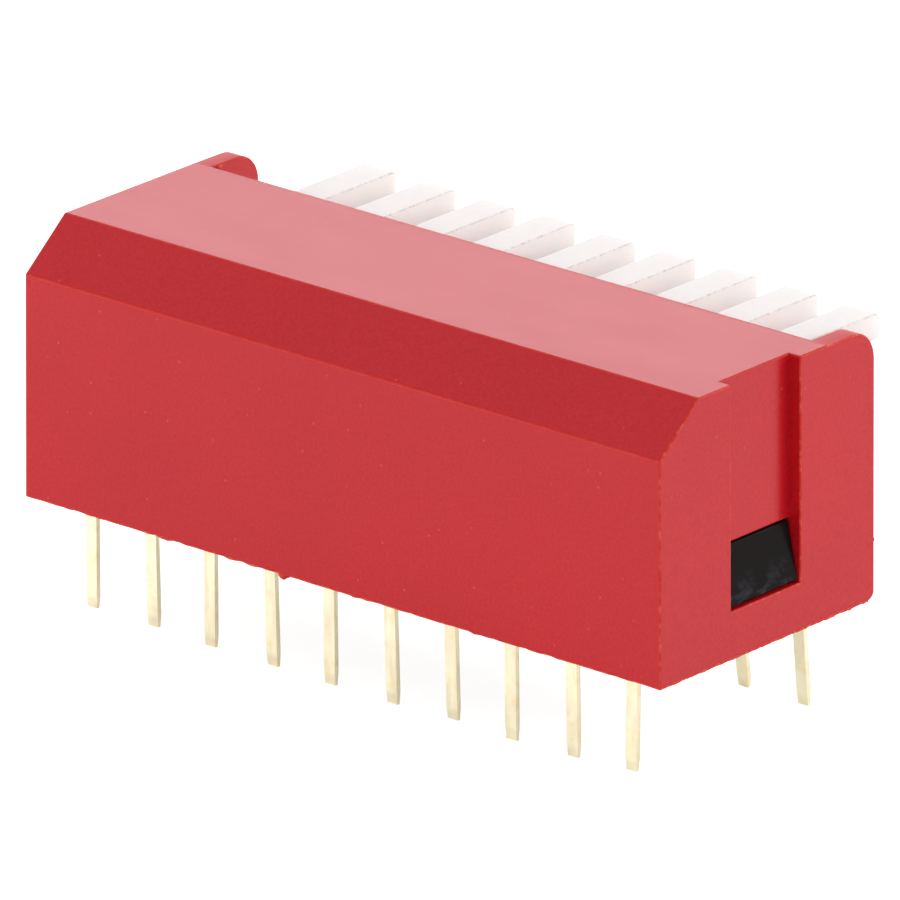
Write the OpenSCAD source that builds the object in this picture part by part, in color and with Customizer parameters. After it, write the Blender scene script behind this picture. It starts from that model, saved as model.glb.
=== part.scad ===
// Ten-way piano DIP switch. A red moulded cover clips over a black base. Ten levers stick out
// of one long side, and each carries a spring bridge that joins two stamped terminals.
// X runs along the row of levers, +Y points where the levers stick out, and Z is up.
// The origin is on the board plane, midway between the two hole rows of the board.

/* [Pins] */
// Distance from one way to the next
pitch = 2.54; // [2.4:0.01:2.8]
// Distance between the two hole rows of the board
row_spacing = 7.62; // [7.5:0.01:7.8]
// How far outside its hole row the lever-side row leaves the base
row_set_out = 0.50; // [0.3:0.01:0.7]
// How far the lever-side pin tips stand out past their roots
pin_splay = 0.38; // [0:0.01:0.6]
// Length of a pin below the board plane
pin_length = 3.80; // [2.5:0.05:5]
// Width of a pin
pin_width = 0.47; // [0.35:0.01:0.5]
// Thickness of the terminal strip
strip_thickness = 0.19; // [0.15:0.01:0.24]
// Length of the taper at a pin's tip
pin_taper = 0.45; // [0.3:0.05:0.9]
// Share of a pin's width that is left at the tip
tip_share = 0.90; // [0.4:0.02:0.96]
// Share of a pin's thickness that is left at the tip
edge_share = 0.70; // [0.4:0.02:0.96]

/* [Cover] */
// From the outermost half pitch to the end face, at the board
end_margin = 0.72; // [0.65:0.01:0.9]
// From the back pin row to the back face
back_margin = 1.07; // [1.03:0.01:1.4]
// Height of the flat top above the board
cover_height = 9.23; // [9.1:0.01:10]
// Depth of the flat top
top_depth = 6.39; // [6.2:0.01:6.7]
// Depth of the sloped back edge
slope_depth = 1.91; // [1.6:0.01:2.1]
// Height of the sloped back edge
slope_height = 1.59; // [1.3:0.01:1.8]
// How far the two ears reach past the flat top
ear_reach = 2.33; // [2.1:0.01:2.6]
// How far the ears' tops fall over that reach
ear_fall = 0.01; // [0:0.01:0.3]
// Radius of the ears' top corner
ear_radius = 1.05; // [0.4:0.05:1.2]
// Radius of the ears' bottom corner
ear_foot_radius = 0.30; // [0.1:0.05:0.6]
// Thickness of an ear at its top
ear_thickness = 0.73; // [0.5:0.01:0.8]
// Draft of the two end faces, in degrees
end_draft = 0.5; // [0:0.1:1]
// Wall at the back
back_wall = 0.65; // [0.5:0.01:0.75]
// Wall at the levers' side
comb_wall = 0.80; // [0.6:0.01:0.9]
// Wall at the top
roof = 0.80; // [0.6:0.01:0.9]
// Wall at the ends, at the board
end_wall = 0.97; // [0.9:0.01:1.05]

/* [Clip] */
// Width of the lead-in groove and the clip window
groove_width = 3.42; // [2.6:0.01:3.6]
// Middle of the groove, from the middle of the hole rows
groove_middle = 0.34; // [0.2:0.01:0.5]
// Depth of the groove
groove_depth = 0.50; // [0.3:0.01:0.55]
// Lower edge of the clip window above the board
window_low = 1.60; // [1.2:0.01:1.9]
// Height of the clip window
window_height = 2.10; // [1.9:0.01:2.4]
// Gap all round the clip in its window
clip_gap = 0.06; // [0.04:0.01:0.12]
// How far the clip's lower edge stands out from the base
clip_reach = 0.92; // [0.7:0.01:0.95]
// How far its upper edge stands out
clip_top_reach = 0.52; // [0.2:0.01:0.6]

/* [Base] */
// Height of the floor that the terminals lie on
floor_height = 2.60; // [2.3:0.01:2.9]
// Height of the block between the ears
block_height = 4.40; // [4.2:0.01:4.6]
// From the block's outer face to the ends of the ears
block_set_back = 0.20; // [0.1:0.01:0.4]
// Depth of the block
block_depth = 2.62; // [2.4:0.01:2.65]
// Gap between the base and the cover
base_gap = 0.05; // [0.03:0.01:0.06]
// Depth of the two troughs in the underside
trough_depth = 0.35; // [0.2:0.05:0.6]

/* [Levers] */
// Width of a lever
lever_width = 1.12; // [0.9:0.01:1.2]
// Gap on each side of a lever in its slot
slot_gap = 0.10; // [0.08:0.01:0.15]
// Width of a lever's pad, outside the cover
pad_width = 1.30; // [1.2:0.01:1.4]
// How far a lever turns between up and pressed, in degrees
press_angle = 13; // [10:0.5:13.5]
// How far the levers reach past the ears
lever_reach = 1.82; // [1.2:0.01:2.4]
// From the flat top down to the top of a lever
lever_drop = 0.27; // [0.2:0.01:0.6]
// Height of a lever's tip
tip_height = 0.87; // [0.8:0.01:1.1]
// Height of a lever's neck in the cover's slot
neck_height = 1.35; // [1.2:0.01:1.5]
// Rounding of a lever's tip
tip_radius = 0.20; // [0.1:0.01:0.3]
// The pivot, from the middle of the hole rows towards the back
pivot_back = 2.30; // [2.2:0.01:2.4]
// The pivot, above the board
pivot_height = 6.30; // [6.2:0.01:6.4]
// Radius of a lever's hub
hub_radius = 0.95; // [0.85:0.01:1]
// Radius of the trunnions at the sides of the hub
trunnion_radius = 0.42; // [0.35:0.01:0.45]
// Length of each trunnion
trunnion_length = 0.35; // [0.3:0.01:0.38]
// Running gap round a trunnion
trunnion_gap = 0.04; // [0.03:0.01:0.08]

/* [Contacts] */
// Width of a terminal inside the base
strip_width = 0.90; // [0.7:0.01:1]
// Gap round a terminal in the base
strip_gap = 0.02; // [0.01:0.01:0.03]
// Bend radius of a terminal, on the middle of the strip
bend_radius = 0.30; // [0.2:0.01:0.4]
// Width of the spring bridge
bridge_width = 0.80; // [0.7:0.01:0.9]
// Thickness of the spring bridge
bridge_thickness = 0.15; // [0.12:0.01:0.17]
// Distance between the bridge's two feet
foot_spacing = 2.40; // [2.2:0.01:2.45]
// From the middle of the outer foot to the block
foot_room = 1.05; // [1:0.01:1.2]
// Outer radius of a foot
foot_radius = 0.32; // [0.25:0.01:0.34]
// Height of the bridge's crown above the terminals
crown_height = 2.20; // [2.1:0.01:2.3]
// What is left between a pressed foot and its terminal
contact_gap = 0.03; // [0.02:0.01:0.06]
// Radius of the staked peg that holds a bridge
peg_radius = 0.24; // [0.2:0.01:0.26]

/* [Hidden] */
$fn = 48;
ways = 10;
eps = 0.01;

// Places along Y
back_row = -row_spacing / 2;
lever_row = row_spacing / 2 + row_set_out;
back_face = back_row - back_margin;
top_back = back_face + slope_depth;
top_front = top_back + top_depth;
ear_end = top_front + ear_reach;
comb_back = top_front - comb_wall;
block_front = ear_end - block_set_back;
block_back = block_front - block_depth;
tip_end = ear_end + lever_reach;
pivot = [-pivot_back, pivot_height];

// Where the levers' pads start, just clear of the cover
pad_start = top_front + 0.12;

// Places along X
cover_length = ways * pitch + 2 * end_margin;
inner_length = cover_length - 2 * end_wall;
base_length = inner_length - 2 * base_gap;
ear_space = cover_length - 2 * (cover_height * tan(end_draft) + ear_thickness);
slot_width = lever_width + 2 * slot_gap;
post_width = pitch - slot_width;
end_post = base_length / 2 - (ways - 1) * pitch / 2 - slot_width / 2;

// Places along Z
roof_under = cover_height - roof;
slope_low = cover_height - slope_height;
lever_top = cover_height - lever_drop;
neck_top = roof_under - base_gap;
neck_low = neck_top - neck_height;
contact_top = floor_height + strip_gap + strip_thickness;
foot_low = contact_top + contact_gap;
crown_top = contact_top + crown_height;
post_height = pivot_height + trunnion_radius + 0.30;
window_high = window_low + window_height;
shoulder_height = 0.40;
// Where the lever-side pins' taper starts, out from their roots
taper_splay = pin_splay * (1 - pin_taper / pin_length);

// The bridge's feet and the ends of the terminals' pads, with the lever pressed
far_foot = block_back - foot_room;
near_foot = far_foot - foot_spacing;
feet_middle = (near_foot + far_foot) / 2;
pad_overlap = 0.60;
peg_head = 0.12;
peg_rim = 0.12;

// actuator_01 and so on
function node_name(stem, i) = str(stem, "_", i < 10 ? "0" : "", i);
// Middle of a way, counted from the -X end
function way_x(i) = (i - (ways + 1) / 2) * pitch;
// Only the first lever is pressed
function lever_turn(i) = i == 1 ? -press_angle : 0;

// Points of an arc, for rounded corners and bends
function arc(centre, radius, from, to, steps = 6) =
    [for (k = [0:steps]) let (a = from + (to - from) * k / steps)
        centre + radius * [cos(a), sin(a)]];

// Unit vector across the line at point k, to its left
function across(line, k) =
    let (a = line[max(k - 1, 0)], b = line[min(k + 1, len(line) - 1)], d = (b - a) / norm(b - a))
    [-d[1], d[0]];

// Outline of a strip that follows a line. start is the share of the thickness at its first point.
function strip_outline(line, thickness, start = 1) = concat(
    [for (k = [0:len(line) - 1]) line[k] + across(line, k) * thickness / 2 * (k == 0 ? start : 1)],
    [for (k = [len(line) - 1:-1:0]) line[k] - across(line, k) * thickness / 2 * (k == 0 ? start : 1)]
);

// A [Y, Z] profile given a width along X, centred on the YZ plane
module along_x(width) {
    rotate([90, 0, 90]) translate([0, 0, -width / 2]) linear_extrude(width) children();
}

// Turns what is given about the levers' pivot
module about_pivot(angle) {
    translate([0, pivot[0], pivot[1]]) rotate([angle, 0, 0]) translate([0, -pivot[0], -pivot[1]])
        children();
}

// A rod along X at a [Y, Z] place
module rod_x(place, radius, length) {
    translate([-length / 2, place[0], place[1]]) rotate([0, 90, 0]) cylinder(r = radius, h = length);
}

// A box from Y and Z limits, centred on the YZ plane
module block_x(width, y_from, y_to, z_from, z_to) {
    translate([-width / 2, y_from, z_from]) cube([width, y_to - y_from, z_to - z_from]);
}

// Side view of the cover: the body without the ears
module body_profile() {
    polygon([[back_face, 0], [top_front, 0], [top_front, cover_height], [top_back, cover_height],
        [back_face, slope_low]]);
}

// Side view of an ear, with its rounded corners
module ear_profile() {
    ear_top = cover_height - ear_fall;
    polygon(concat(
        [[top_front - eps, 0]],
        arc([ear_end - ear_foot_radius, ear_foot_radius], ear_foot_radius, -90, 0),
        arc([ear_end - ear_radius, ear_top - ear_radius], ear_radius, 0, 90, 10),
        [[top_front - eps, cover_height]]
    ));
}

// Side view of the space inside, one wall in from the body
module cavity_profile() {
    slope_angle = atan(slope_height / slope_depth);
    slope = slope_height / slope_depth;
    inner_back = back_face + back_wall;
    // A point on the inner side of the sloped wall
    mark = [back_face + back_wall * sin(slope_angle), slope_low - back_wall * cos(slope_angle)];
    polygon([[inner_back, -1], [comb_back, -1], [comb_back, roof_under],
        [mark[0] + (roof_under - mark[1]) / slope, roof_under],
        [inner_back, mark[1] + (inner_back - mark[0]) * slope]]);
}

// Everything outside a drafted end face is cut away
module end_cut(side) {
    mirror([side < 0 ? 1 : 0, 0, 0]) translate([cover_length / 2, back_face - 1, -1])
        rotate([0, -end_draft, 0]) translate([0, 0, -1]) cube([3, ear_end - back_face + 2, cover_height + 4]);
}

// The window that a clip snaps into. Only the +X end has the lead-in groove above it.
module clip_cut(side) {
    groove_x = cover_length / 2 - groove_depth;
    mirror([side < 0 ? 1 : 0, 0, 0]) {
        if (side > 0)
            translate([groove_x, groove_middle - groove_width / 2, window_low])
                rotate([0, -end_draft, 0]) cube([3, groove_width, cover_height]);
        translate([inner_length / 2 - 0.5, groove_middle - groove_width / 2, window_low])
            cube([3, groove_width, window_height]);
    }
}

module cover() {
    rib_width = post_width - 0.4;
    rib_depth = 2 * trunnion_radius;
    rib_low = pivot_height + trunnion_radius + trunnion_gap;
    color([0.78, 0.24, 0.27]) difference() {
        union() {
            difference() {
                along_x(cover_length) union() {
                    body_profile();
                    ear_profile();
                }
                along_x(inner_length) cavity_profile();
                // The space between the ears
                block_x(ear_space, top_front, ear_end + 1, -1, cover_height + 1);
                // The comb wall stops above the base's block
                block_x(inner_length, comb_back - eps, top_front + eps, -1, block_height + base_gap);
            }
            // Ribs that hold the trunnions down
            for (i = [1:ways - 1])
                translate([way_x(i) + pitch / 2, 0, 0])
                    block_x(rib_width, pivot[0] - rib_depth / 2, pivot[0] + rib_depth / 2,
                        rib_low, roof_under + eps);
        }
        // One slot for each lever, open at the bottom
        for (i = [1:ways])
            translate([way_x(i), 0, 0])
                block_x(slot_width, comb_back - eps, top_front + 2 * eps,
                    block_height - eps, roof_under);
        for (side = [-1, 1]) {
            end_cut(side);
            clip_cut(side);
        }
    }
}

// Line of a terminal in the back row: up from its tip, then in over the floor
back_terminal_line = concat(
    [[back_row, -pin_length], [back_row, pin_taper - pin_length]],
    arc([back_row + bend_radius, floor_height + strip_gap + strip_thickness / 2 - bend_radius],
        bend_radius, 180, 90, 4),
    [[near_foot + pad_overlap, floor_height + strip_gap + strip_thickness / 2]]
);

// Line of a terminal in the levers' row: its pin leans out
lever_terminal_line = concat(
    [[lever_row + pin_splay, -pin_length], [lever_row + taper_splay, pin_taper - pin_length],
        [lever_row, 0]],
    arc([lever_row - bend_radius, floor_height + strip_gap + strip_thickness / 2 - bend_radius],
        bend_radius, 0, 90, 4),
    [[far_foot - pad_overlap, floor_height + strip_gap + strip_thickness / 2]]
);

// Front view of a terminal: wide inside the base, narrow below it, tapered at the tip
module terminal_face() {
    tip_width = pin_width * tip_share;
    polygon([[-tip_width / 2, -pin_length - eps], [tip_width / 2, -pin_length - eps],
        [pin_width / 2, pin_taper - pin_length], [pin_width / 2, shoulder_height],
        [strip_width / 2, shoulder_height], [strip_width / 2, floor_height + 1],
        [-strip_width / 2, floor_height + 1], [-strip_width / 2, shoulder_height],
        [-pin_width / 2, shoulder_height], [-pin_width / 2, pin_taper - pin_length]]);
}

// The same face, one gap larger all round, for the terminal's seat in the base
module terminal_seat_face() {
    low = shoulder_height - strip_gap;
    narrow = pin_width / 2 + strip_gap;
    wide = strip_width / 2 + strip_gap;
    polygon([[-narrow, -1], [narrow, -1], [narrow, low], [wide, low], [wide, floor_height + 1],
        [-wide, floor_height + 1], [-wide, low], [-narrow, low]]);
}

// A terminal from its line, or its seat in the base
module terminal(line, seat = false) {
    grow = seat ? strip_gap : 0;
    intersection() {
        along_x(strip_width + 2 * grow)
            polygon(strip_outline(line, strip_thickness + 2 * grow, seat ? 1 : edge_share));
        translate([0, 20, 0]) rotate([90, 0, 0]) linear_extrude(40)
            if (seat) terminal_seat_face();
            else terminal_face();
    }
}

module back_terminal(i) {
    color([0.86, 0.74, 0.42]) translate([way_x(i), 0, 0]) terminal(back_terminal_line);
}

module lever_terminal(i) {
    color([0.86, 0.74, 0.42]) translate([way_x(i), 0, 0]) terminal(lever_terminal_line);
}

// A post between two ways, with a cradle for the trunnions on both sides of it
module post(width) {
    half = hub_radius + 0.10;
    lead_in = 0.20;
    cradle = trunnion_radius + trunnion_gap;
    difference() {
        along_x(width) polygon([[pivot[0] - half, floor_height - eps],
            [pivot[0] + half, floor_height - eps], [pivot[0] + half, post_height - lead_in],
            [pivot[0] + half - lead_in, post_height], [pivot[0] - half + lead_in, post_height],
            [pivot[0] - half, post_height - lead_in]]);
        rod_x(pivot, cradle, width + 1);
        block_x(width + 1, pivot[0] - cradle, pivot[0] + cradle, pivot_height, post_height + 1);
    }
}

// The wedge at one end that snaps into the cover's window
module clip(side) {
    shelf = window_low + clip_gap;
    peak = window_high - clip_gap;
    root = base_length / 2;
    nose = 0.08;
    width = groove_width - 2 * clip_gap;
    mirror([side < 0 ? 1 : 0, 0, 0])
        translate([0, groove_middle + width / 2, 0]) rotate([90, 0, 0]) linear_extrude(width)
        polygon([[root - end_post, floor_height - 1], [root - eps, floor_height - 1],
            [root - eps, shelf], [root + clip_reach - nose, shelf], [root + clip_reach, shelf + nose],
            [root + clip_top_reach, peak], [root - end_post, peak]]);
}

module base() {
    inner_back = back_face + back_wall;
    color([0.13, 0.12, 0.13]) difference() {
        union() {
            block_x(base_length, inner_back + base_gap, block_front, 0, floor_height);
            block_x(base_length, block_back, block_front, 0, block_height);
            block_x(ear_space - 2 * base_gap, top_front + base_gap, block_front, 0, block_height);
            for (i = [1:ways - 1]) translate([way_x(i) + pitch / 2, 0, 0]) post(post_width);
            for (side = [-1, 1]) {
                translate([side * (base_length / 2 - end_post / 2), 0, 0]) post(end_post);
                clip(side);
            }
        }
        for (i = [1:ways]) translate([way_x(i), 0, 0]) {
            terminal(back_terminal_line, seat = true);
            terminal(lever_terminal_line, seat = true);
        }
        // Two troughs along the underside, with a flat strip between them
        for (trough = [[-2.9, -1.1], [1.1, 3.3]])
            block_x(base_length + 2, trough[0], trough[1], -1, trough_depth);
    }
}

// Side view of a lever's arm, with the lever up
module arm_profile() {
    arm_half = hub_radius - 0.15;
    tip_low = lever_top - tip_height;
    tip_length = 1.6;
    heel = 0.2;
    polygon(concat(
        [[pivot[0], pivot[1] - arm_half], [comb_back - 0.3, neck_low - 0.1], [top_front, neck_low]],
        [[tip_end - tip_length, tip_low]],
        arc([tip_end - tip_radius, tip_low + tip_radius], tip_radius, -90, 0, 4),
        arc([tip_end - tip_radius, lever_top - tip_radius], tip_radius, 0, 90, 4),
        [[pad_start + heel, lever_top], [pad_start, lever_top - heel], [pad_start, neck_top],
            [comb_back - 0.4, neck_top], [pivot[0], pivot[1] + arm_half]]
    ));
}

// What holds the bridge, drawn with the lever pressed
module bridge_seat() {
    boss_low = crown_top;
    boss_high = pivot_height;
    boss_half = 1.05;
    block_x(lever_width, feet_middle - boss_half, feet_middle + boss_half, boss_low, boss_high);
    translate([0, feet_middle, boss_low - bridge_thickness - eps])
        cylinder(r = peg_radius, h = bridge_thickness + 2 * eps);
    translate([0, feet_middle, boss_low - bridge_thickness - peg_head])
        cylinder(r = peg_radius + peg_rim, h = peg_head);
}

module actuator(i) {
    color([0.94, 0.92, 0.88]) translate([way_x(i), 0, 0]) about_pivot(lever_turn(i)) union() {
        along_x(lever_width) arm_profile();
        intersection() {
            along_x(pad_width) arm_profile();
            block_x(pad_width + 1, pad_start, tip_end + 1, 0, cover_height);
        }
        rod_x(pivot, hub_radius, lever_width);
        rod_x(pivot, trunnion_radius, lever_width + 2 * trunnion_length);
        about_pivot(press_angle) bridge_seat();
    }
}

// Line of the spring bridge, drawn with the lever pressed: foot, leg, crown, leg, foot
bridge_line = let (
        r = foot_radius - bridge_thickness / 2,
        z = foot_low + foot_radius,
        crown = crown_top - bridge_thickness / 2,
        half = foot_spacing / 2 - r - 0.12
    ) concat(
        arc([near_foot, z], r, 200, 350, 5),
        arc([feet_middle - half, crown - 0.2], 0.2, 170, 90, 4),
        arc([feet_middle + half, crown - 0.2], 0.2, 90, 10, 4),
        arc([far_foot, z], r, 190, 340, 5)
    );

module contact_bridge(i) {
    color([0.82, 0.68, 0.36]) translate([way_x(i), 0, 0]) about_pivot(lever_turn(i) + press_angle)
        difference() {
            along_x(bridge_width) polygon(strip_outline(bridge_line, bridge_thickness));
            translate([0, feet_middle, crown_top - 1])
                cylinder(r = peg_radius + strip_gap, h = 2);
        }
}

cover();
base();
for (i = [1:ways]) {
    actuator(i);
    contact_bridge(i);
    back_terminal(i);
    lever_terminal(i);
}
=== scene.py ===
import math

import bmesh
import bpy
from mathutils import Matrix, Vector, noise


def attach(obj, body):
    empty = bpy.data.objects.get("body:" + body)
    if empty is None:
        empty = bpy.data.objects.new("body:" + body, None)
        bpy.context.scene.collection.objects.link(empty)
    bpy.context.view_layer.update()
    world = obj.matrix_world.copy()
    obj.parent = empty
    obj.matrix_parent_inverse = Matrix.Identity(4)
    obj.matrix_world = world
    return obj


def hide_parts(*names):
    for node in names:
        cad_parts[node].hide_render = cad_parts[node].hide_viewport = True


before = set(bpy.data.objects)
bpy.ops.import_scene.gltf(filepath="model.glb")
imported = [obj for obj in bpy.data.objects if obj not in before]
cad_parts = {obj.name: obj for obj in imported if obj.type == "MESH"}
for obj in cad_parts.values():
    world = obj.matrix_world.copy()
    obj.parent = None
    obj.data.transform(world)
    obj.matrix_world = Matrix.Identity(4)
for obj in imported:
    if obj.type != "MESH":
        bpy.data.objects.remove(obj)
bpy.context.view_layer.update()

ways = 10
mm = 0.001
noiseBand = (0.3, 0.7)  # a noise does most of its changing between these


# node helpers

def mathNode(tree, operation, *values):
    node = tree.nodes.new("ShaderNodeMath")
    node.operation = operation
    for socket, value in zip(node.inputs, values):
        if isinstance(value, bpy.types.NodeSocket):
            tree.links.new(value, socket)
        else:
            socket.default_value = value
    return node.outputs[0]


def mapFac(tree, fac, fromMin, fromMax, toMin, toMax):
    remap = tree.nodes.new("ShaderNodeMapRange")
    remap.inputs["From Min"].default_value = fromMin
    remap.inputs["From Max"].default_value = fromMax
    remap.inputs["To Min"].default_value = toMin
    remap.inputs["To Max"].default_value = toMax
    tree.links.new(fac, remap.inputs["Value"])
    return remap.outputs["Result"]


def fadeIn(tree, coordinate, start, width, full=1.0):
    return mapFac(tree, coordinate, start * mm, (start + width) * mm, 0.0, full)


def placeOf(tree, vector):
    place = tree.nodes.new("ShaderNodeSeparateXYZ")
    tree.links.new(vector, place.inputs[0])
    return place.outputs


def objectCoords(tree, stretch=(1, 1, 1)):
    coords = tree.nodes.new("ShaderNodeTexCoord")
    mapping = tree.nodes.new("ShaderNodeMapping")
    mapping.inputs["Scale"].default_value = stretch
    tree.links.new(coords.outputs["Object"], mapping.inputs["Vector"])
    return mapping.outputs[0]


def noiseFac(tree, vector, scale, detail=2, rough=0.5):
    texture = tree.nodes.new("ShaderNodeTexNoise")
    texture.inputs["Scale"].default_value = scale
    texture.inputs["Detail"].default_value = detail
    texture.inputs["Roughness"].default_value = rough
    tree.links.new(vector, texture.inputs["Vector"])
    return texture.outputs["Fac"]


def rampColor(tree, fac, low, high, start=noiseBand[0], end=noiseBand[1]):
    ramp = tree.nodes.new("ShaderNodeValToRGB")
    first, last = ramp.color_ramp.elements
    first.position, last.position = start, end
    first.color, last.color = (*low, 1), (*high, 1)
    tree.links.new(fac, ramp.inputs["Fac"])
    return ramp.outputs["Color"]


def mixColors(tree, fac, a, b, mode="MIX"):
    mix = tree.nodes.new("ShaderNodeMix")
    mix.data_type = "RGBA"
    mix.blend_type = mode
    for socket, value in ((mix.inputs[0], fac), (mix.inputs[6], a), (mix.inputs[7], b)):
        if isinstance(value, bpy.types.NodeSocket):
            tree.links.new(value, socket)
        else:
            socket.default_value = value
    return mix.outputs[2]


def bumpFrom(tree, height, strength, distance, normal=None):
    bump = tree.nodes.new("ShaderNodeBump")
    bump.inputs["Strength"].default_value = strength
    bump.inputs["Distance"].default_value = distance * mm
    tree.links.new(height, bump.inputs["Height"])
    if normal is not None:
        tree.links.new(normal, bump.inputs["Normal"])
    return bump.outputs[0]


def newFinish(name, color, s):
    finish = bpy.data.materials.new(name)
    finish.use_nodes = True
    shader = finish.node_tree.nodes["Principled BSDF"]
    shader.inputs["Base Color"].default_value = (*color, 1)
    shader.inputs["Roughness"].default_value = s["roughness"]
    shader.inputs["Metallic"].default_value = s.get("metallic", 0.0)
    shader.inputs["Specular IOR Level"].default_value = s.get("level", 0.5)
    return finish, finish.node_tree, shader


def addGlow(shader, weight, radius, depth):
    shader.inputs["Subsurface Weight"].default_value = weight
    shader.inputs["Subsurface Radius"].default_value = radius
    shader.inputs["Subsurface Scale"].default_value = depth * mm


# camera, floor and light

cameraSettings = {
    "azimuth": 40.57,  # degrees, 0 looks along +Y
    "elevation": 20.40,
    "distance": 590.9,  # millimetres
    "right": 0.39,
    "up": 3.22,
    "lens": 735.85,
    "sensorWidth": 36,
    "clipRange": (0.01, 20),  # metres
}

stageSettings = {
    "floorHeight": -3.8,  # the pins' tips
    "floorSize": 900,
    "floorColor": (0.88, 0.88, 0.88, 1),
    "floorGlow": 0.30,  # added where shiny pieces see the floor
    "floorWhite": 0.75,  # added where the camera sees it
    "skyColor": (0.8, 0.8, 0.8, 1),
    "skyBand": (0.1, 0.9),  # the sky fades between these heights
    "skyLow": 1.05,
    "skyHigh": 0.62,
    "ceiling": 0.59,  # the highest part, as shiny pieces see it
    "softboxes": {  # place and size in millimetres, power, color
        "rimSoftbox": ((-183, 213, 105), (420, 300), 0.432, (0.96, 0.965, 1)),
        "keySoftbox": ((204, 204, 126), (220, 160), 0.44, (1, 0.955, 0.90)),
        "fillSoftbox": ((-198, -222, 27), (240, 60), 0.36, (1, 1, 1)),
    },
}


def addCamera(s):
    az, el = math.radians(s["azimuth"]), math.radians(s["elevation"])
    back = Vector((math.sin(az) * math.cos(el), -math.cos(az) * math.cos(el), math.sin(el)))
    right = Vector((math.cos(az), math.sin(az), 0))
    up = back.cross(right)
    bpy.ops.object.camera_add()
    camera = bpy.context.object
    camera.location = (back * s["distance"] + right * s["right"] + up * s["up"]) * mm
    camera.rotation_euler = (-back).to_track_quat("-Z", "Y").to_euler()
    camera.data.lens = s["lens"]
    camera.data.sensor_width = s["sensorWidth"]
    camera.data.clip_start, camera.data.clip_end = s["clipRange"]
    camera.data.dof.use_dof = False
    bpy.context.scene.camera = camera


def seenRays(tree, path, *more):
    seen = path.outputs["Is Camera Ray"]
    for name in ("Is Transmission Ray", *more):
        seen = mathNode(tree, "MAXIMUM", seen, path.outputs[name])
    return seen


def addFloor(s):
    place = (0, 0, s["floorHeight"] * mm)
    bpy.ops.mesh.primitive_plane_add(size=s["floorSize"] * mm, location=place)
    floor = bpy.context.object
    floor.name = "studioFloor"
    paper = bpy.data.materials.new("whitePaper")
    paper.use_nodes = True
    tree = paper.node_tree
    tree.nodes.clear()
    out = tree.nodes.new("ShaderNodeOutputMaterial")
    diffuse = tree.nodes.new("ShaderNodeBsdfDiffuse")
    diffuse.inputs["Color"].default_value = s["floorColor"]
    glow = tree.nodes.new("ShaderNodeEmission")
    add = tree.nodes.new("ShaderNodeAddShader")
    path = tree.nodes.new("ShaderNodeLightPath")
    shine = mathNode(tree, "MULTIPLY", path.outputs["Is Glossy Ray"], s["floorGlow"])
    level = mathNode(tree, "MULTIPLY_ADD", seenRays(tree, path), s["floorWhite"], shine)
    tree.links.new(level, glow.inputs["Strength"])
    tree.links.new(diffuse.outputs[0], add.inputs[0])
    tree.links.new(glow.outputs[0], add.inputs[1])
    tree.links.new(add.outputs[0], out.inputs["Surface"])
    floor.data.materials.append(paper)


def addSky(s):
    world = bpy.context.scene.world or bpy.data.worlds.new("studio")
    bpy.context.scene.world = world
    world.use_nodes = True
    tree = world.node_tree
    tree.nodes.clear()
    out = tree.nodes.new("ShaderNodeOutputWorld")
    seenSky = tree.nodes.new("ShaderNodeBackground")
    litSky = tree.nodes.new("ShaderNodeBackground")
    seenSky.inputs["Color"].default_value = (1, 1, 1, 1)
    litSky.inputs["Color"].default_value = s["skyColor"]
    mix = tree.nodes.new("ShaderNodeMixShader")
    path = tree.nodes.new("ShaderNodeLightPath")
    coords = tree.nodes.new("ShaderNodeTexCoord")
    height = placeOf(tree, coords.outputs["Generated"])["Z"]
    lit = mapFac(tree, height, *s["skyBand"], s["skyLow"], s["skyHigh"])
    # what shines sees the same pale surroundings, a little darker overhead
    drop = mapFac(tree, height, *s["skyBand"], 0.0, s["ceiling"] - 1)
    seen = mathNode(tree, "MULTIPLY_ADD", drop, path.outputs["Is Glossy Ray"], 1.0)
    tree.links.new(lit, litSky.inputs["Strength"])
    tree.links.new(seen, seenSky.inputs["Strength"])
    tree.links.new(seenRays(tree, path, "Is Glossy Ray"), mix.inputs[0])
    tree.links.new(litSky.outputs[0], mix.inputs[1])
    tree.links.new(seenSky.outputs[0], mix.inputs[2])
    tree.links.new(mix.outputs[0], out.inputs["Surface"])


def addSoftbox(name, place, size, power, color):
    bpy.ops.object.light_add(type="AREA", location=[c * mm for c in place])
    lamp = bpy.context.object
    lamp.name = name
    lamp.data.shape = "RECTANGLE"
    lamp.data.size, lamp.data.size_y = size[0] * mm, size[1] * mm
    lamp.data.energy = power
    lamp.data.color = color
    lamp.rotation_euler = (-Vector(place)).to_track_quat("-Z", "Y").to_euler()


bpy.context.scene.view_settings.view_transform = "Standard"
bpy.ops.object.select_all(action="DESELECT")
addCamera(cameraSettings)
addFloor(stageSettings)
addSky(stageSettings)
for name, values in stageSettings["softboxes"].items():
    addSoftbox(name, *values)
print("camera, floor and light done")


# finishes; scales are cycles in a metre, heights and depths are millimetres

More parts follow.
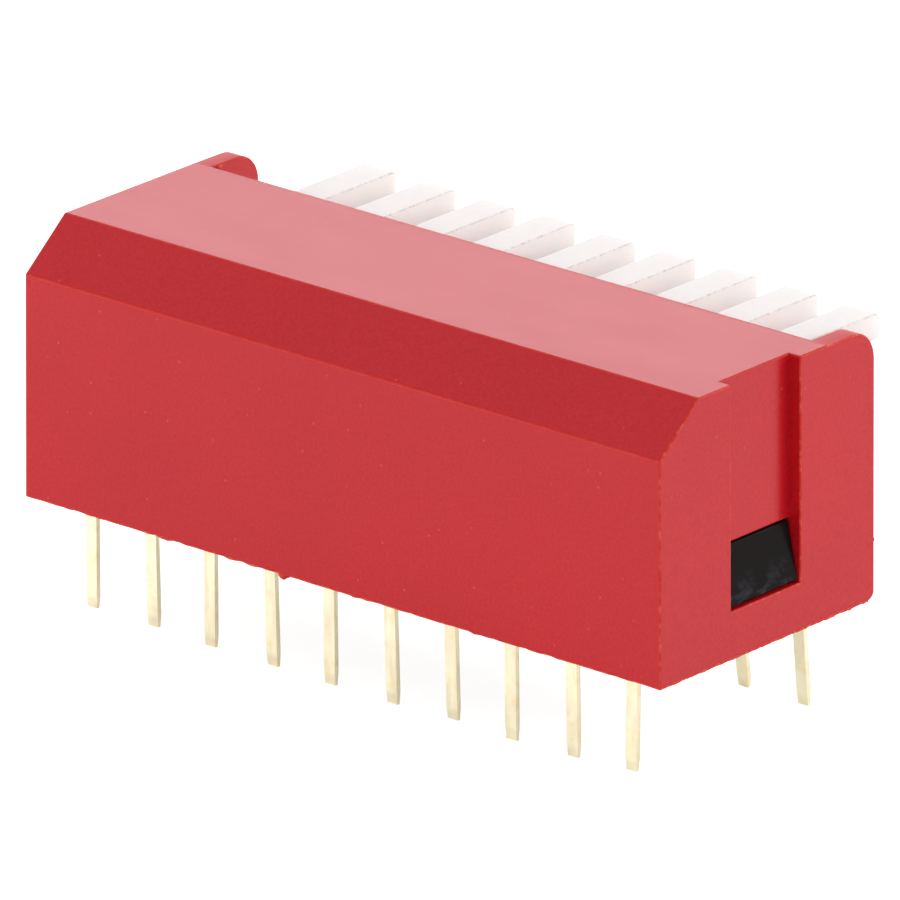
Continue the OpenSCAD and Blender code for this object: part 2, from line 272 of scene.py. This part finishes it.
redSettings = {
    "color": (0.585, 0.004, 0.012),
    "roughness": 0.25,
    "level": 0.42,
    "glow": 0.22,
    "glowRadius": (1, 0.12, 0.06),
    "glowDepth": 0.35,
    "grainScale": 9000,
    "grainDark": 0.90,  # shares of the color
    "grainPale": 1.09,
    "grainLift": 0.006,
    "grainBump": (0.22, 0.008),  # strength, depth
    "driftScale": 160,
    "driftDark": (0.95, 0.95, 0.95),
    "speckScale": 2100,
    "speckSize": (0.04, 0.11),
    "speckShare": (0.70, 0.72),
    "speckStrength": 0.65,
    "pit": (0.30, 0.002, 0.008),
    "dust": (0.70, 0.10, 0.11),
    "pitOrDust": (0.45, 0.55),
    "topHeight": 9.15,
    "topFade": 0.05,
    # a lighter red for the top: painted light
    "topLitColor": (0.645, 0.004, 0.014),
    "topLevel": 0.395,
    "markStretch": (260, 1100, 260),
    "markSpread": (0.25, 0.75),
    "markStrength": 0.5,
    "markShade": 0.86,
    "markLoss": 0.10,
    "markDull": 0.02,
    "earFrom": 3.43,
    "earFade": 0.04,
    "earDull": 0.20,
}


def addSpecks(tree, vector, color, s):
    cells = tree.nodes.new("ShaderNodeTexVoronoi")
    cells.inputs["Scale"].default_value = s["speckScale"]
    tree.links.new(vector, cells.inputs["Vector"])
    near = mapFac(tree, cells.outputs["Distance"], *s["speckSize"], 1.0, 0.0)
    chance = tree.nodes.new("ShaderNodeSeparateColor")
    tree.links.new(cells.outputs["Color"], chance.inputs[0])
    picked = mapFac(tree, chance.outputs["Red"], *s["speckShare"], 0.0, s["speckStrength"])
    specks = mathNode(tree, "MULTIPLY", near, picked)
    tint = rampColor(tree, chance.outputs["Green"], s["pit"], s["dust"], *s["pitOrDust"])
    return mixColors(tree, specks, color, tint), specks


def makeRed(s):
    finish, tree, shader = newFinish("redPlastic", s["color"], s)
    addGlow(shader, s["glow"], s["glowRadius"], s["glowDepth"])
    vector = objectCoords(tree)
    grain = noiseFac(tree, vector, s["grainScale"], detail=3, rough=0.6)
    red, green, blue = s["color"]
    dark = tuple(c * s["grainDark"] for c in s["color"])
    pale = (red * s["grainPale"], green + s["grainLift"], blue + s["grainLift"])
    drift = noiseFac(tree, vector, s["driftScale"], detail=1)
    driftColor = rampColor(tree, drift, s["driftDark"], (1, 1, 1))
    color = mixColors(tree, 1.0, rampColor(tree, grain, dark, pale), driftColor, "MULTIPLY")
    # dust and pits left by the mould, a few to a square millimetre
    color, specks = addSpecks(tree, vector, color, s)
    # the flat top is smoother, with soft drag marks along it; its lighter red is painted light,
    # as if the top caught more light than the sides
    place = placeOf(tree, vector)
    onTop = fadeIn(tree, place["Z"], s["topHeight"], s["topFade"])
    cleanLitTop = mathNode(tree, "MULTIPLY", onTop, mapFac(tree, specks, 0.0, 1.0, 1.0, 0.0))
    color = mixColors(tree, cleanLitTop, color, (*s["topLitColor"], 1))
    drag = noiseFac(tree, objectCoords(tree, s["markStretch"]), 1, detail=3, rough=0.55)
    drag = mapFac(tree, drag, *s["markSpread"], 0.0, 1.0)
    marks = mathNode(tree, "MULTIPLY", drag, onTop)
    strength = mapFac(tree, marks, 0.0, 1.0, 0.0, s["markStrength"])
    shade = tuple(c * s["markShade"] for c in s["topLitColor"])
    color = mixColors(tree, strength, color, (*shade, 1))
    tree.links.new(color, shader.inputs["Base Color"])
    level = mapFac(tree, onTop, 0.0, 1.0, s["level"], s["topLevel"])
    loss = mapFac(tree, marks, 0.0, 1.0, 0.0, -s["markLoss"])
    level = mathNode(tree, "ADD", level, loss)
    tree.links.new(level, shader.inputs["Specular IOR Level"])
    # the tops of the ears are duller
    ear = fadeIn(tree, place["Y"], s["earFrom"], s["earFade"], s["earDull"])
    rough = mapFac(tree, marks, 0.0, 1.0, s["roughness"], s["roughness"] + s["markDull"])
    rough = mathNode(tree, "ADD", rough, mathNode(tree, "MULTIPLY", ear, onTop))
    tree.links.new(rough, shader.inputs["Roughness"])
    tree.links.new(bumpFrom(tree, grain, *s["grainBump"]), shader.inputs["Normal"])
    return finish


edgeSettings = {
    "low": (0.58, 0.014, 0.011),
    "high": (0.64, 0.030, 0.020),
    "spread": (0.46, 0.72),
    "wornAndHighlight": (0.80, 0.150, 0.095),
    "wornAndHighlightSpread": (0.50, 0.72),
    "wornAndHighlightFrom": 13.22,  # the corner at the end is rubbed most; its pale orange is partly wear and partly a painted highlight
    "wornAndHighlightFade": 0.1,
    "roughness": 0.42,
    "level": 0.19,
    "scale": 3800,
    "bump": (0.5, 0.02),
}

flashSettings = {
    "low": (0.58, 0.028, 0.016),
    "high": (0.80, 0.17, 0.085),
    "spread": (0.46, 0.72),
    "roughness": 0.5,
    "level": 0.17,
    "scale": 3800,
    "bump": (0.5, 0.02),
}


def makeWornRed(name, s):
    finish, tree, shader = newFinish(name, s["high"], s)
    vector = objectCoords(tree)
    wear = noiseFac(tree, vector, s["scale"], detail=4, rough=0.7)
    color = rampColor(tree, wear, s["low"], s["high"], *s["spread"])
    # pale orange at the end corner: partly rubbed wear, partly painted highlight
    if "wornAndHighlight" in s:
        atEnd = fadeIn(tree, placeOf(tree, vector)["X"], s["wornAndHighlightFrom"], s["wornAndHighlightFade"])
        rubbedAndHighlit = rampColor(tree, wear, s["high"], s["wornAndHighlight"], *s["wornAndHighlightSpread"])
        color = mixColors(tree, atEnd, color, rubbedAndHighlit)
    tree.links.new(color, shader.inputs["Base Color"])
    tree.links.new(bumpFrom(tree, wear, *s["bump"]), shader.inputs["Normal"])
    return finish


blackSettings = {
    "color": (0.010, 0.0075, 0.008),
    "roughness": 0.16,
    "roughSpread": (-0.03, 0.06),
    "level": 0.047,
    "flowScale": 850,
    "flowBump": (0.4, 0.05),
    "grainScale": 9000,
    "grainBump": (0.15, 0.01),
    "clipFrom": 12.55,
    "clipFade": 0.05,
    # pale patches low on the clips: scuffs and painted glints
    "scuffAndGlint": (0.032, 0.035, 0.043),
    "scuffAndGlintHeight": (1.8, 2.7),
    "scuffAndGlintScale": 1700,
    "scuffAndGlintStretch": (1, 0.5, 1),
    "scuffAndGlintSpread": (0.49, 0.60),
}


def makeBlack(s):
    finish, tree, shader = newFinish("blackPlastic", s["color"], s)
    vector = objectCoords(tree)
    flow = noiseFac(tree, vector, s["flowScale"], detail=5, rough=0.65)
    place = placeOf(tree, vector)
    # only the clips at the ends are scuffed, near their feet; the pale patches there are partly
    # scuffs and partly painted glints
    low, high = s["scuffAndGlintHeight"]
    under = mapFac(tree, place["Z"], low * mm, high * mm, 1.0, 0.0)
    side = mathNode(tree, "ABSOLUTE", place["X"])
    atClip = fadeIn(tree, side, s["clipFrom"], s["clipFade"])
    stretched = objectCoords(tree, s["scuffAndGlintStretch"])
    patches = noiseFac(tree, stretched, s["scuffAndGlintScale"], detail=4, rough=0.7)
    patches = mapFac(tree, patches, *s["scuffAndGlintSpread"], 0.0, 1.0)
    scuffedAndGlinting = mathNode(tree, "MULTIPLY", mathNode(tree, "MULTIPLY", under, atClip), patches)
    color = mixColors(tree, scuffedAndGlinting, (*s["color"], 1), (*s["scuffAndGlint"], 1))
    tree.links.new(color, shader.inputs["Base Color"])
    smooth, dull = (s["roughness"] + step for step in s["roughSpread"])
    tree.links.new(mapFac(tree, flow, *noiseBand, smooth, dull), shader.inputs["Roughness"])
    normal = bumpFrom(tree, mathNode(tree, "MULTIPLY", flow, atClip), *s["flowBump"])
    normal = bumpFrom(tree, noiseFac(tree, vector, s["grainScale"]), *s["grainBump"], normal)
    tree.links.new(normal, shader.inputs["Normal"])
    return finish


whiteSettings = {
    "color": (0.955, 0.882, 0.872),
    "roughness": 0.42,
    "level": 0.26,
    "glow": 0.85,
    "glowRadius": (1, 0.85, 0.8),
    "glowDepth": 0.9,
    "grainScale": 3200,
    "grainDark": 0.975,
    "grainBump": (0.25, 0.015),
    "edgeLow": (0.66, 0.54, 0.50),
    "edgeHigh": (0.90, 0.85, 0.835),
    "edgeSpread": (0.42, 0.72),
    "edgeScale": 5200,
    "edgeGlow": 0.1,
    # darker rounded edges at the lever tips: painted shade
    "tip": (0.50, 0.42, 0.41),
    "tipFrom": 7.6,
    "tipFade": 0.1,
}


def makeWhite(s):
    finish, tree, shader = newFinish("whiteNylon", s["color"], s)
    addGlow(shader, s["glow"], s["glowRadius"], s["glowDepth"])
    grain = noiseFac(tree, objectCoords(tree), s["grainScale"], detail=4, rough=0.65)
    dark = tuple(c * s["grainDark"] for c in s["color"])
    tree.links.new(rampColor(tree, grain, dark, s["color"]), shader.inputs["Base Color"])
    tree.links.new(bumpFrom(tree, grain, *s["grainBump"]), shader.inputs["Normal"])
    return finish


def makeWhiteEdge(s):
    finish, tree, shader = newFinish("whiteNylonEdge", s["color"], s)
    addGlow(shader, s["edgeGlow"], s["glowRadius"], s["glowDepth"])
    vector = objectCoords(tree)
    grain = noiseFac(tree, vector, s["edgeScale"], detail=4, rough=0.65)
    color = rampColor(tree, grain, s["edgeHigh"], s["edgeLow"], *s["edgeSpread"])
    # painted shade along the rounded edges at the tips
    inTipShade = fadeIn(tree, placeOf(tree, vector)["Y"], s["tipFrom"], s["tipFade"])
    color = mixColors(tree, inTipShade, color, (*s["tip"], 1))
    tree.links.new(color, shader.inputs["Base Color"])
    tree.links.new(bumpFrom(tree, grain, *s["grainBump"]), shader.inputs["Normal"])
    return finish


goldSettings = {
    "low": (0.96, 0.835, 0.53),
    "high": (1.0, 0.93, 0.67),
    "roughness": 0.36,
    "roughSpread": (-0.06, 0.12),
    "metallic": 0.92,
    "drawnScale": 4500,
    "drawnStretch": (1, 1, 0.2),
    "drawnBump": (0.35, 0.015),
    "blotchScale": 1800,
    "blotchSpread": (0.30, 0.52),
}


def makeGold(s):
    finish, tree, shader = newFinish("paleGold", s["high"], s)
    stretched = objectCoords(tree, s["drawnStretch"])
    drawn = noiseFac(tree, stretched, s["drawnScale"], detail=4, rough=0.6)
    blotch = noiseFac(tree, objectCoords(tree), s["blotchScale"], detail=3, rough=0.6)
    color = rampColor(tree, blotch, s["low"], s["high"], *s["blotchSpread"])
    tree.links.new(color, shader.inputs["Base Color"])
    smooth, dull = (s["roughness"] + step for step in s["roughSpread"])
    tree.links.new(mapFac(tree, drawn, *noiseBand, smooth, dull), shader.inputs["Roughness"])
    tree.links.new(bumpFrom(tree, drawn, *s["drawnBump"]), shader.inputs["Normal"])
    return finish


red = makeRed(redSettings)
redEdge = makeWornRed("redPlasticEdge", edgeSettings)
redFlash = makeWornRed("redFlash", flashSettings)
black = makeBlack(blackSettings)
white, whiteEdge = makeWhite(whiteSettings), makeWhiteEdge(whiteSettings)
gold = makeGold(goldSettings)
print("finishes done")


# shaping helpers

shapingSettings = {
    "mergeDistance": 0.0005,  # millimetres
    "flatAngle": 1.5,  # degrees
    "sharpAngle": 30,
    "smoothAngle": 32,
    "normalWeight": 100,
}


def selectOnly(piece):
    bpy.ops.object.select_all(action="DESELECT")
    piece.select_set(True)
    bpy.context.view_layer.objects.active = piece


def copyNode(nodeName, pieceName, *finishes):
    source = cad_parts[nodeName]
    piece = bpy.data.objects.new(pieceName, source.data.copy())
    bpy.context.collection.objects.link(piece)
    selectOnly(piece)
    bpy.ops.mesh.customdata_custom_splitnormals_clear()
    bpy.ops.object.mode_set(mode="EDIT")
    bpy.ops.mesh.select_all(action="SELECT")
    bpy.ops.mesh.remove_doubles(threshold=shapingSettings["mergeDistance"] * mm)
    bpy.ops.mesh.dissolve_limited(angle_limit=math.radians(shapingSettings["flatAngle"]))
    bpy.ops.object.mode_set(mode="OBJECT")
    piece.data.materials.clear()
    for finish in finishes:
        piece.data.materials.append(finish)
    return piece


def applyModifier(piece, kind, **values):
    selectOnly(piece)
    modifier = piece.modifiers.new(kind.lower(), kind)
    for name, value in values.items():
        setattr(modifier, name, value)
    bpy.ops.object.modifier_apply(modifier=modifier.name)


def dropSlivers(piece):
    selectOnly(piece)
    bpy.ops.object.mode_set(mode="EDIT")
    bpy.ops.mesh.select_all(action="SELECT")
    bpy.ops.mesh.dissolve_degenerate(threshold=shapingSettings["mergeDistance"] * mm)
    bpy.ops.object.mode_set(mode="OBJECT")


def roundEdges(piece, width, segments, edgeSlot=-1, slivers=False):
    sharp = math.radians(shapingSettings["sharpAngle"])
    mesh = bmesh.new()
    mesh.from_mesh(piece.data)
    marks = mesh.edges.layers.float.new("bevel_weight_edge")
    for edge in mesh.edges:
        if edge.is_manifold and edge.is_convex and edge.calc_face_angle() > sharp:
            edge[marks] = 1
    mesh.to_mesh(piece.data)
    mesh.free()
    applyModifier(piece, "BEVEL", width=width * mm, segments=segments, limit_method="WEIGHT",
                  use_clamp_overlap=False, miter_outer="MITER_ARC", material=edgeSlot)
    if slivers:
        dropSlivers(piece)
    bpy.ops.object.shade_smooth_by_angle(angle=math.radians(shapingSettings["smoothAngle"]))
    applyModifier(piece, "WEIGHTED_NORMAL", keep_sharp=True,
                  weight=shapingSettings["normalWeight"])


def finishPiece(piece, body, slot, *replaced):
    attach(piece, body)
    if replaced:
        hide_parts(*replaced)


# cover

coverSettings = {
    "edgeRadius": 0.055,
    "edgeSegments": 5,
    "endX": 13.42,
    "backY": -4.88,
    "frontY": 5.75,
    "nubs": {  # place, half size
        "gateNub": ((-2.40, -4.78, -0.06), (0.20, 0.07, 0.14)),
        "earEndNub": ((13.33, 5.76, 2.0), (0.05, 0.05, 0.06)),
        "earRootNub": ((-12.60, 3.76, 9.15), (0.07, 0.13, 0.055)),
    },
    "nubDetail": 3,
    "nubBump": 0.45,
    "nubScale": 1.7,
}

ridgeSettings = {  # the mould's flash under the cover's rim
    "height": 0.075,
    "thickness": 0.05,
    "inset": 0.035,
    "earInset": 0.3,
    "lengthwise": 0.99,  # edges this nearly along the strip are cut
    "backCuts": 260,
    "endCuts": 110,
    "waveScale": 2.1,  # cycles in a millimetre
    "nickScale": 7.3,
    "calmScale": 0.6,
    "waveHeight": 0.8,
    "nickHeight": 0.8,
    "calmRange": (0.15, 1),
    "calmMiddle": 0.5,
    "calmSwing": 1.2,
    "base": 0.30,
    "swing": 1.2,
    "least": 0.004,
    "smoothAngle": 40,
}


def raggedDepth(far, seed, s):
    wave = s["waveHeight"] * noise.noise(Vector((far * s["waveScale"], seed, 0)))
    nick = s["nickHeight"] * noise.noise(Vector((far * s["nickScale"], seed, 4)))
    calm = s["calmMiddle"] + s["calmSwing"] * noise.noise(Vector((far * s["calmScale"], seed, 9)))
    least, most = s["calmRange"]
    calm = min(most, max(least, calm))
    depth = -s["height"] * mm * (s["base"] + s["swing"] * calm * (wave + nick))
    return min(depth, -s["least"] * mm)


def addFlash(name, start, end, cuts, seed, s):
    start, end = Vector((*start, 0)) * mm, Vector((*end, 0)) * mm
    along = (end - start).normalized()
    bpy.ops.object.select_all(action="DESELECT")
    bpy.ops.mesh.primitive_cube_add(size=1, location=(0, 0, 0))
    strip = bpy.context.object
    strip.name = name
    strip.scale = ((end - start).length, s["thickness"] * mm, 2 * s["height"] * mm)
    strip.rotation_euler = (0, 0, math.atan2(along.y, along.x))
    strip.location = (start + end) / 2
    bpy.ops.object.transform_apply(location=True, rotation=True, scale=True)
    bpy.ops.object.mode_set(mode="EDIT")
    mesh = bmesh.from_edit_mesh(strip.data)
    for edge in mesh.edges:
        direction = (edge.verts[1].co - edge.verts[0].co).normalized()
        edge.select = abs(direction.dot(along)) > s["lengthwise"]
    bmesh.update_edit_mesh(strip.data)
    bpy.ops.mesh.subdivide(number_cuts=cuts)
    mesh = bmesh.from_edit_mesh(strip.data)
    for vertex in mesh.verts:
        if vertex.co.z < 0:
            far = (vertex.co - start).dot(along) / mm
            vertex.co.z = raggedDepth(far, seed, s)
    bmesh.update_edit_mesh(strip.data)
    bpy.ops.object.mode_set(mode="OBJECT")
    bpy.ops.object.shade_smooth_by_angle(angle=math.radians(s["smoothAngle"]))
    strip.data.materials.append(redFlash)
    finishPiece(strip, "housing", "red_cover")


def addNub(name, place, size, seed, s):
    bpy.ops.object.select_all(action="DESELECT")
    bpy.ops.mesh.primitive_ico_sphere_add(subdivisions=s["nubDetail"], radius=1,
                                          location=(0, 0, 0))
    nub = bpy.context.object
    nub.name = name
    bpy.ops.object.mode_set(mode="EDIT")
    mesh = bmesh.from_edit_mesh(nub.data)
    for vertex in mesh.verts:
        bump = 1 + s["nubBump"] * noise.noise(vertex.co * s["nubScale"] + Vector((seed, 0, 0)))
        vertex.co = Vector([place[k] + vertex.co[k] * size[k] * bump for k in range(3)]) * mm
    bmesh.update_edit_mesh(nub.data)
    bpy.ops.object.mode_set(mode="OBJECT")
    bpy.ops.object.shade_smooth()
    nub.data.materials.append(redFlash)
    finishPiece(nub, "housing", "red_cover")


def addCover(s, ridge):
    cover = copyNode("cover", "coverShell", red, redEdge)
    roundEdges(cover, s["edgeRadius"], s["edgeSegments"], edgeSlot=1, slivers=True)
    finishPiece(cover, "housing", "red_cover", "cover")
    right, back = s["endX"] - ridge["inset"], s["backY"] + ridge["inset"]
    left, front = -right, s["frontY"] - ridge["earInset"]
    addFlash("flashBack", (left, back), (right, back), ridge["backCuts"], 1, ridge)
    addFlash("flashEndRight", (right, back), (right, front), ridge["endCuts"], 2, ridge)
    addFlash("flashEndLeft", (left, front), (left, back), ridge["endCuts"], 3, ridge)
    for seed, (name, (place, size)) in enumerate(s["nubs"].items(), start=5):
        addNub(name, place, size, seed, s)
    print("cover done")


addCover(coverSettings, ridgeSettings)


# base

baseSettings = {
    "edgeRadius": 0.035,
    "edgeSegments": 2,
}


def addBase(s):
    base = copyNode("base", "baseBlock", black)
    roundEdges(base, s["edgeRadius"], s["edgeSegments"], slivers=True)
    finishPiece(base, "housing", "black_base", "base")
    print("base done")


addBase(baseSettings)


# levers, springs and pins

leverSettings = {
    "edgeRadius": 0.045,
    "edgeSegments": 3,
    "pivot": (-2.3, 6.3),  # y, z
    # degrees and millimetres, each lever sits a little its own way
    "tilt": (0, 0.17, 0, -0.10, 0.20, -0.10, 0, 0.08, -0.05, -0.28),
    "shift": (0, 0, 0, -0.006, 0, -0.006, 0, 0, -0.004, -0.05),
}

springSettings = {
    "edgeRadius": 0.012,
    "edgeSegments": 2,
}

pinSettings = {
    "edgeRadius": 0.02,
    "edgeSegments": 2,
    "length": 3.8,
    "lean": (-0.01, 0.09, 0.0, 0.13, 0.04, 0.13, 0.13, 0.05, 0.07, -0.05),
    "short": (0.12, 0.12, 0.03, 0.03, 0.0, 0.0, 0.11, 0.03, 0.10, 0.25),
    "leverRowLean": 0.6,  # share of the other row's lean
}


def addLever(i, s):
    lever = copyNode(f"actuator_{i:02d}", f"lever_{i:02d}_paddle", white, whiteEdge)
    roundEdges(lever, s["edgeRadius"], s["edgeSegments"], edgeSlot=1)
    y, z = (c * mm for c in s["pivot"])
    turn = math.radians(s["tilt"][i - 1])
    shift = s["shift"][i - 1] * mm
    for vertex in lever.data.vertices:
        dy, dz = vertex.co.y - y, vertex.co.z - z
        vertex.co.y = y + dy * math.cos(turn) - dz * math.sin(turn) + shift
        vertex.co.z = z + dy * math.sin(turn) + dz * math.cos(turn)
    finishPiece(lever, f"lever_{i:02d}", "white_lever", f"actuator_{i:02d}")


def addSpring(i, s):
    spring = copyNode(f"contact_bridge_{i:02d}", f"lever_{i:02d}_spring", gold)
    roundEdges(spring, s["edgeRadius"], s["edgeSegments"])
    finishPiece(spring, f"lever_{i:02d}", "gold_spring", f"contact_bridge_{i:02d}")


def addPin(row, i, lean, short, s):
    pin = copyNode(f"{row}_terminal_{i:02d}", f"{row}Pin_{i:02d}", gold)
    roundEdges(pin, s["edgeRadius"], s["edgeSegments"])
    for vertex in pin.data.vertices:
        depth = max(0, -vertex.co.z / mm) / s["length"]
        vertex.co.x += lean * depth * mm
        vertex.co.z += short * depth * mm
    finishPiece(pin, "housing", "gold_terminal", f"{row}_terminal_{i:02d}")


for i in range(1, ways + 1):
    addLever(i, leverSettings)
    addSpring(i, springSettings)
    lean, short = pinSettings["lean"], pinSettings["short"]
    addPin("back", i, lean[i - 1], short[i - 1], pinSettings)
    addPin("lever", i, pinSettings["leverRowLean"] * lean[-i], 0, pinSettings)
print("levers, springs and pins done")
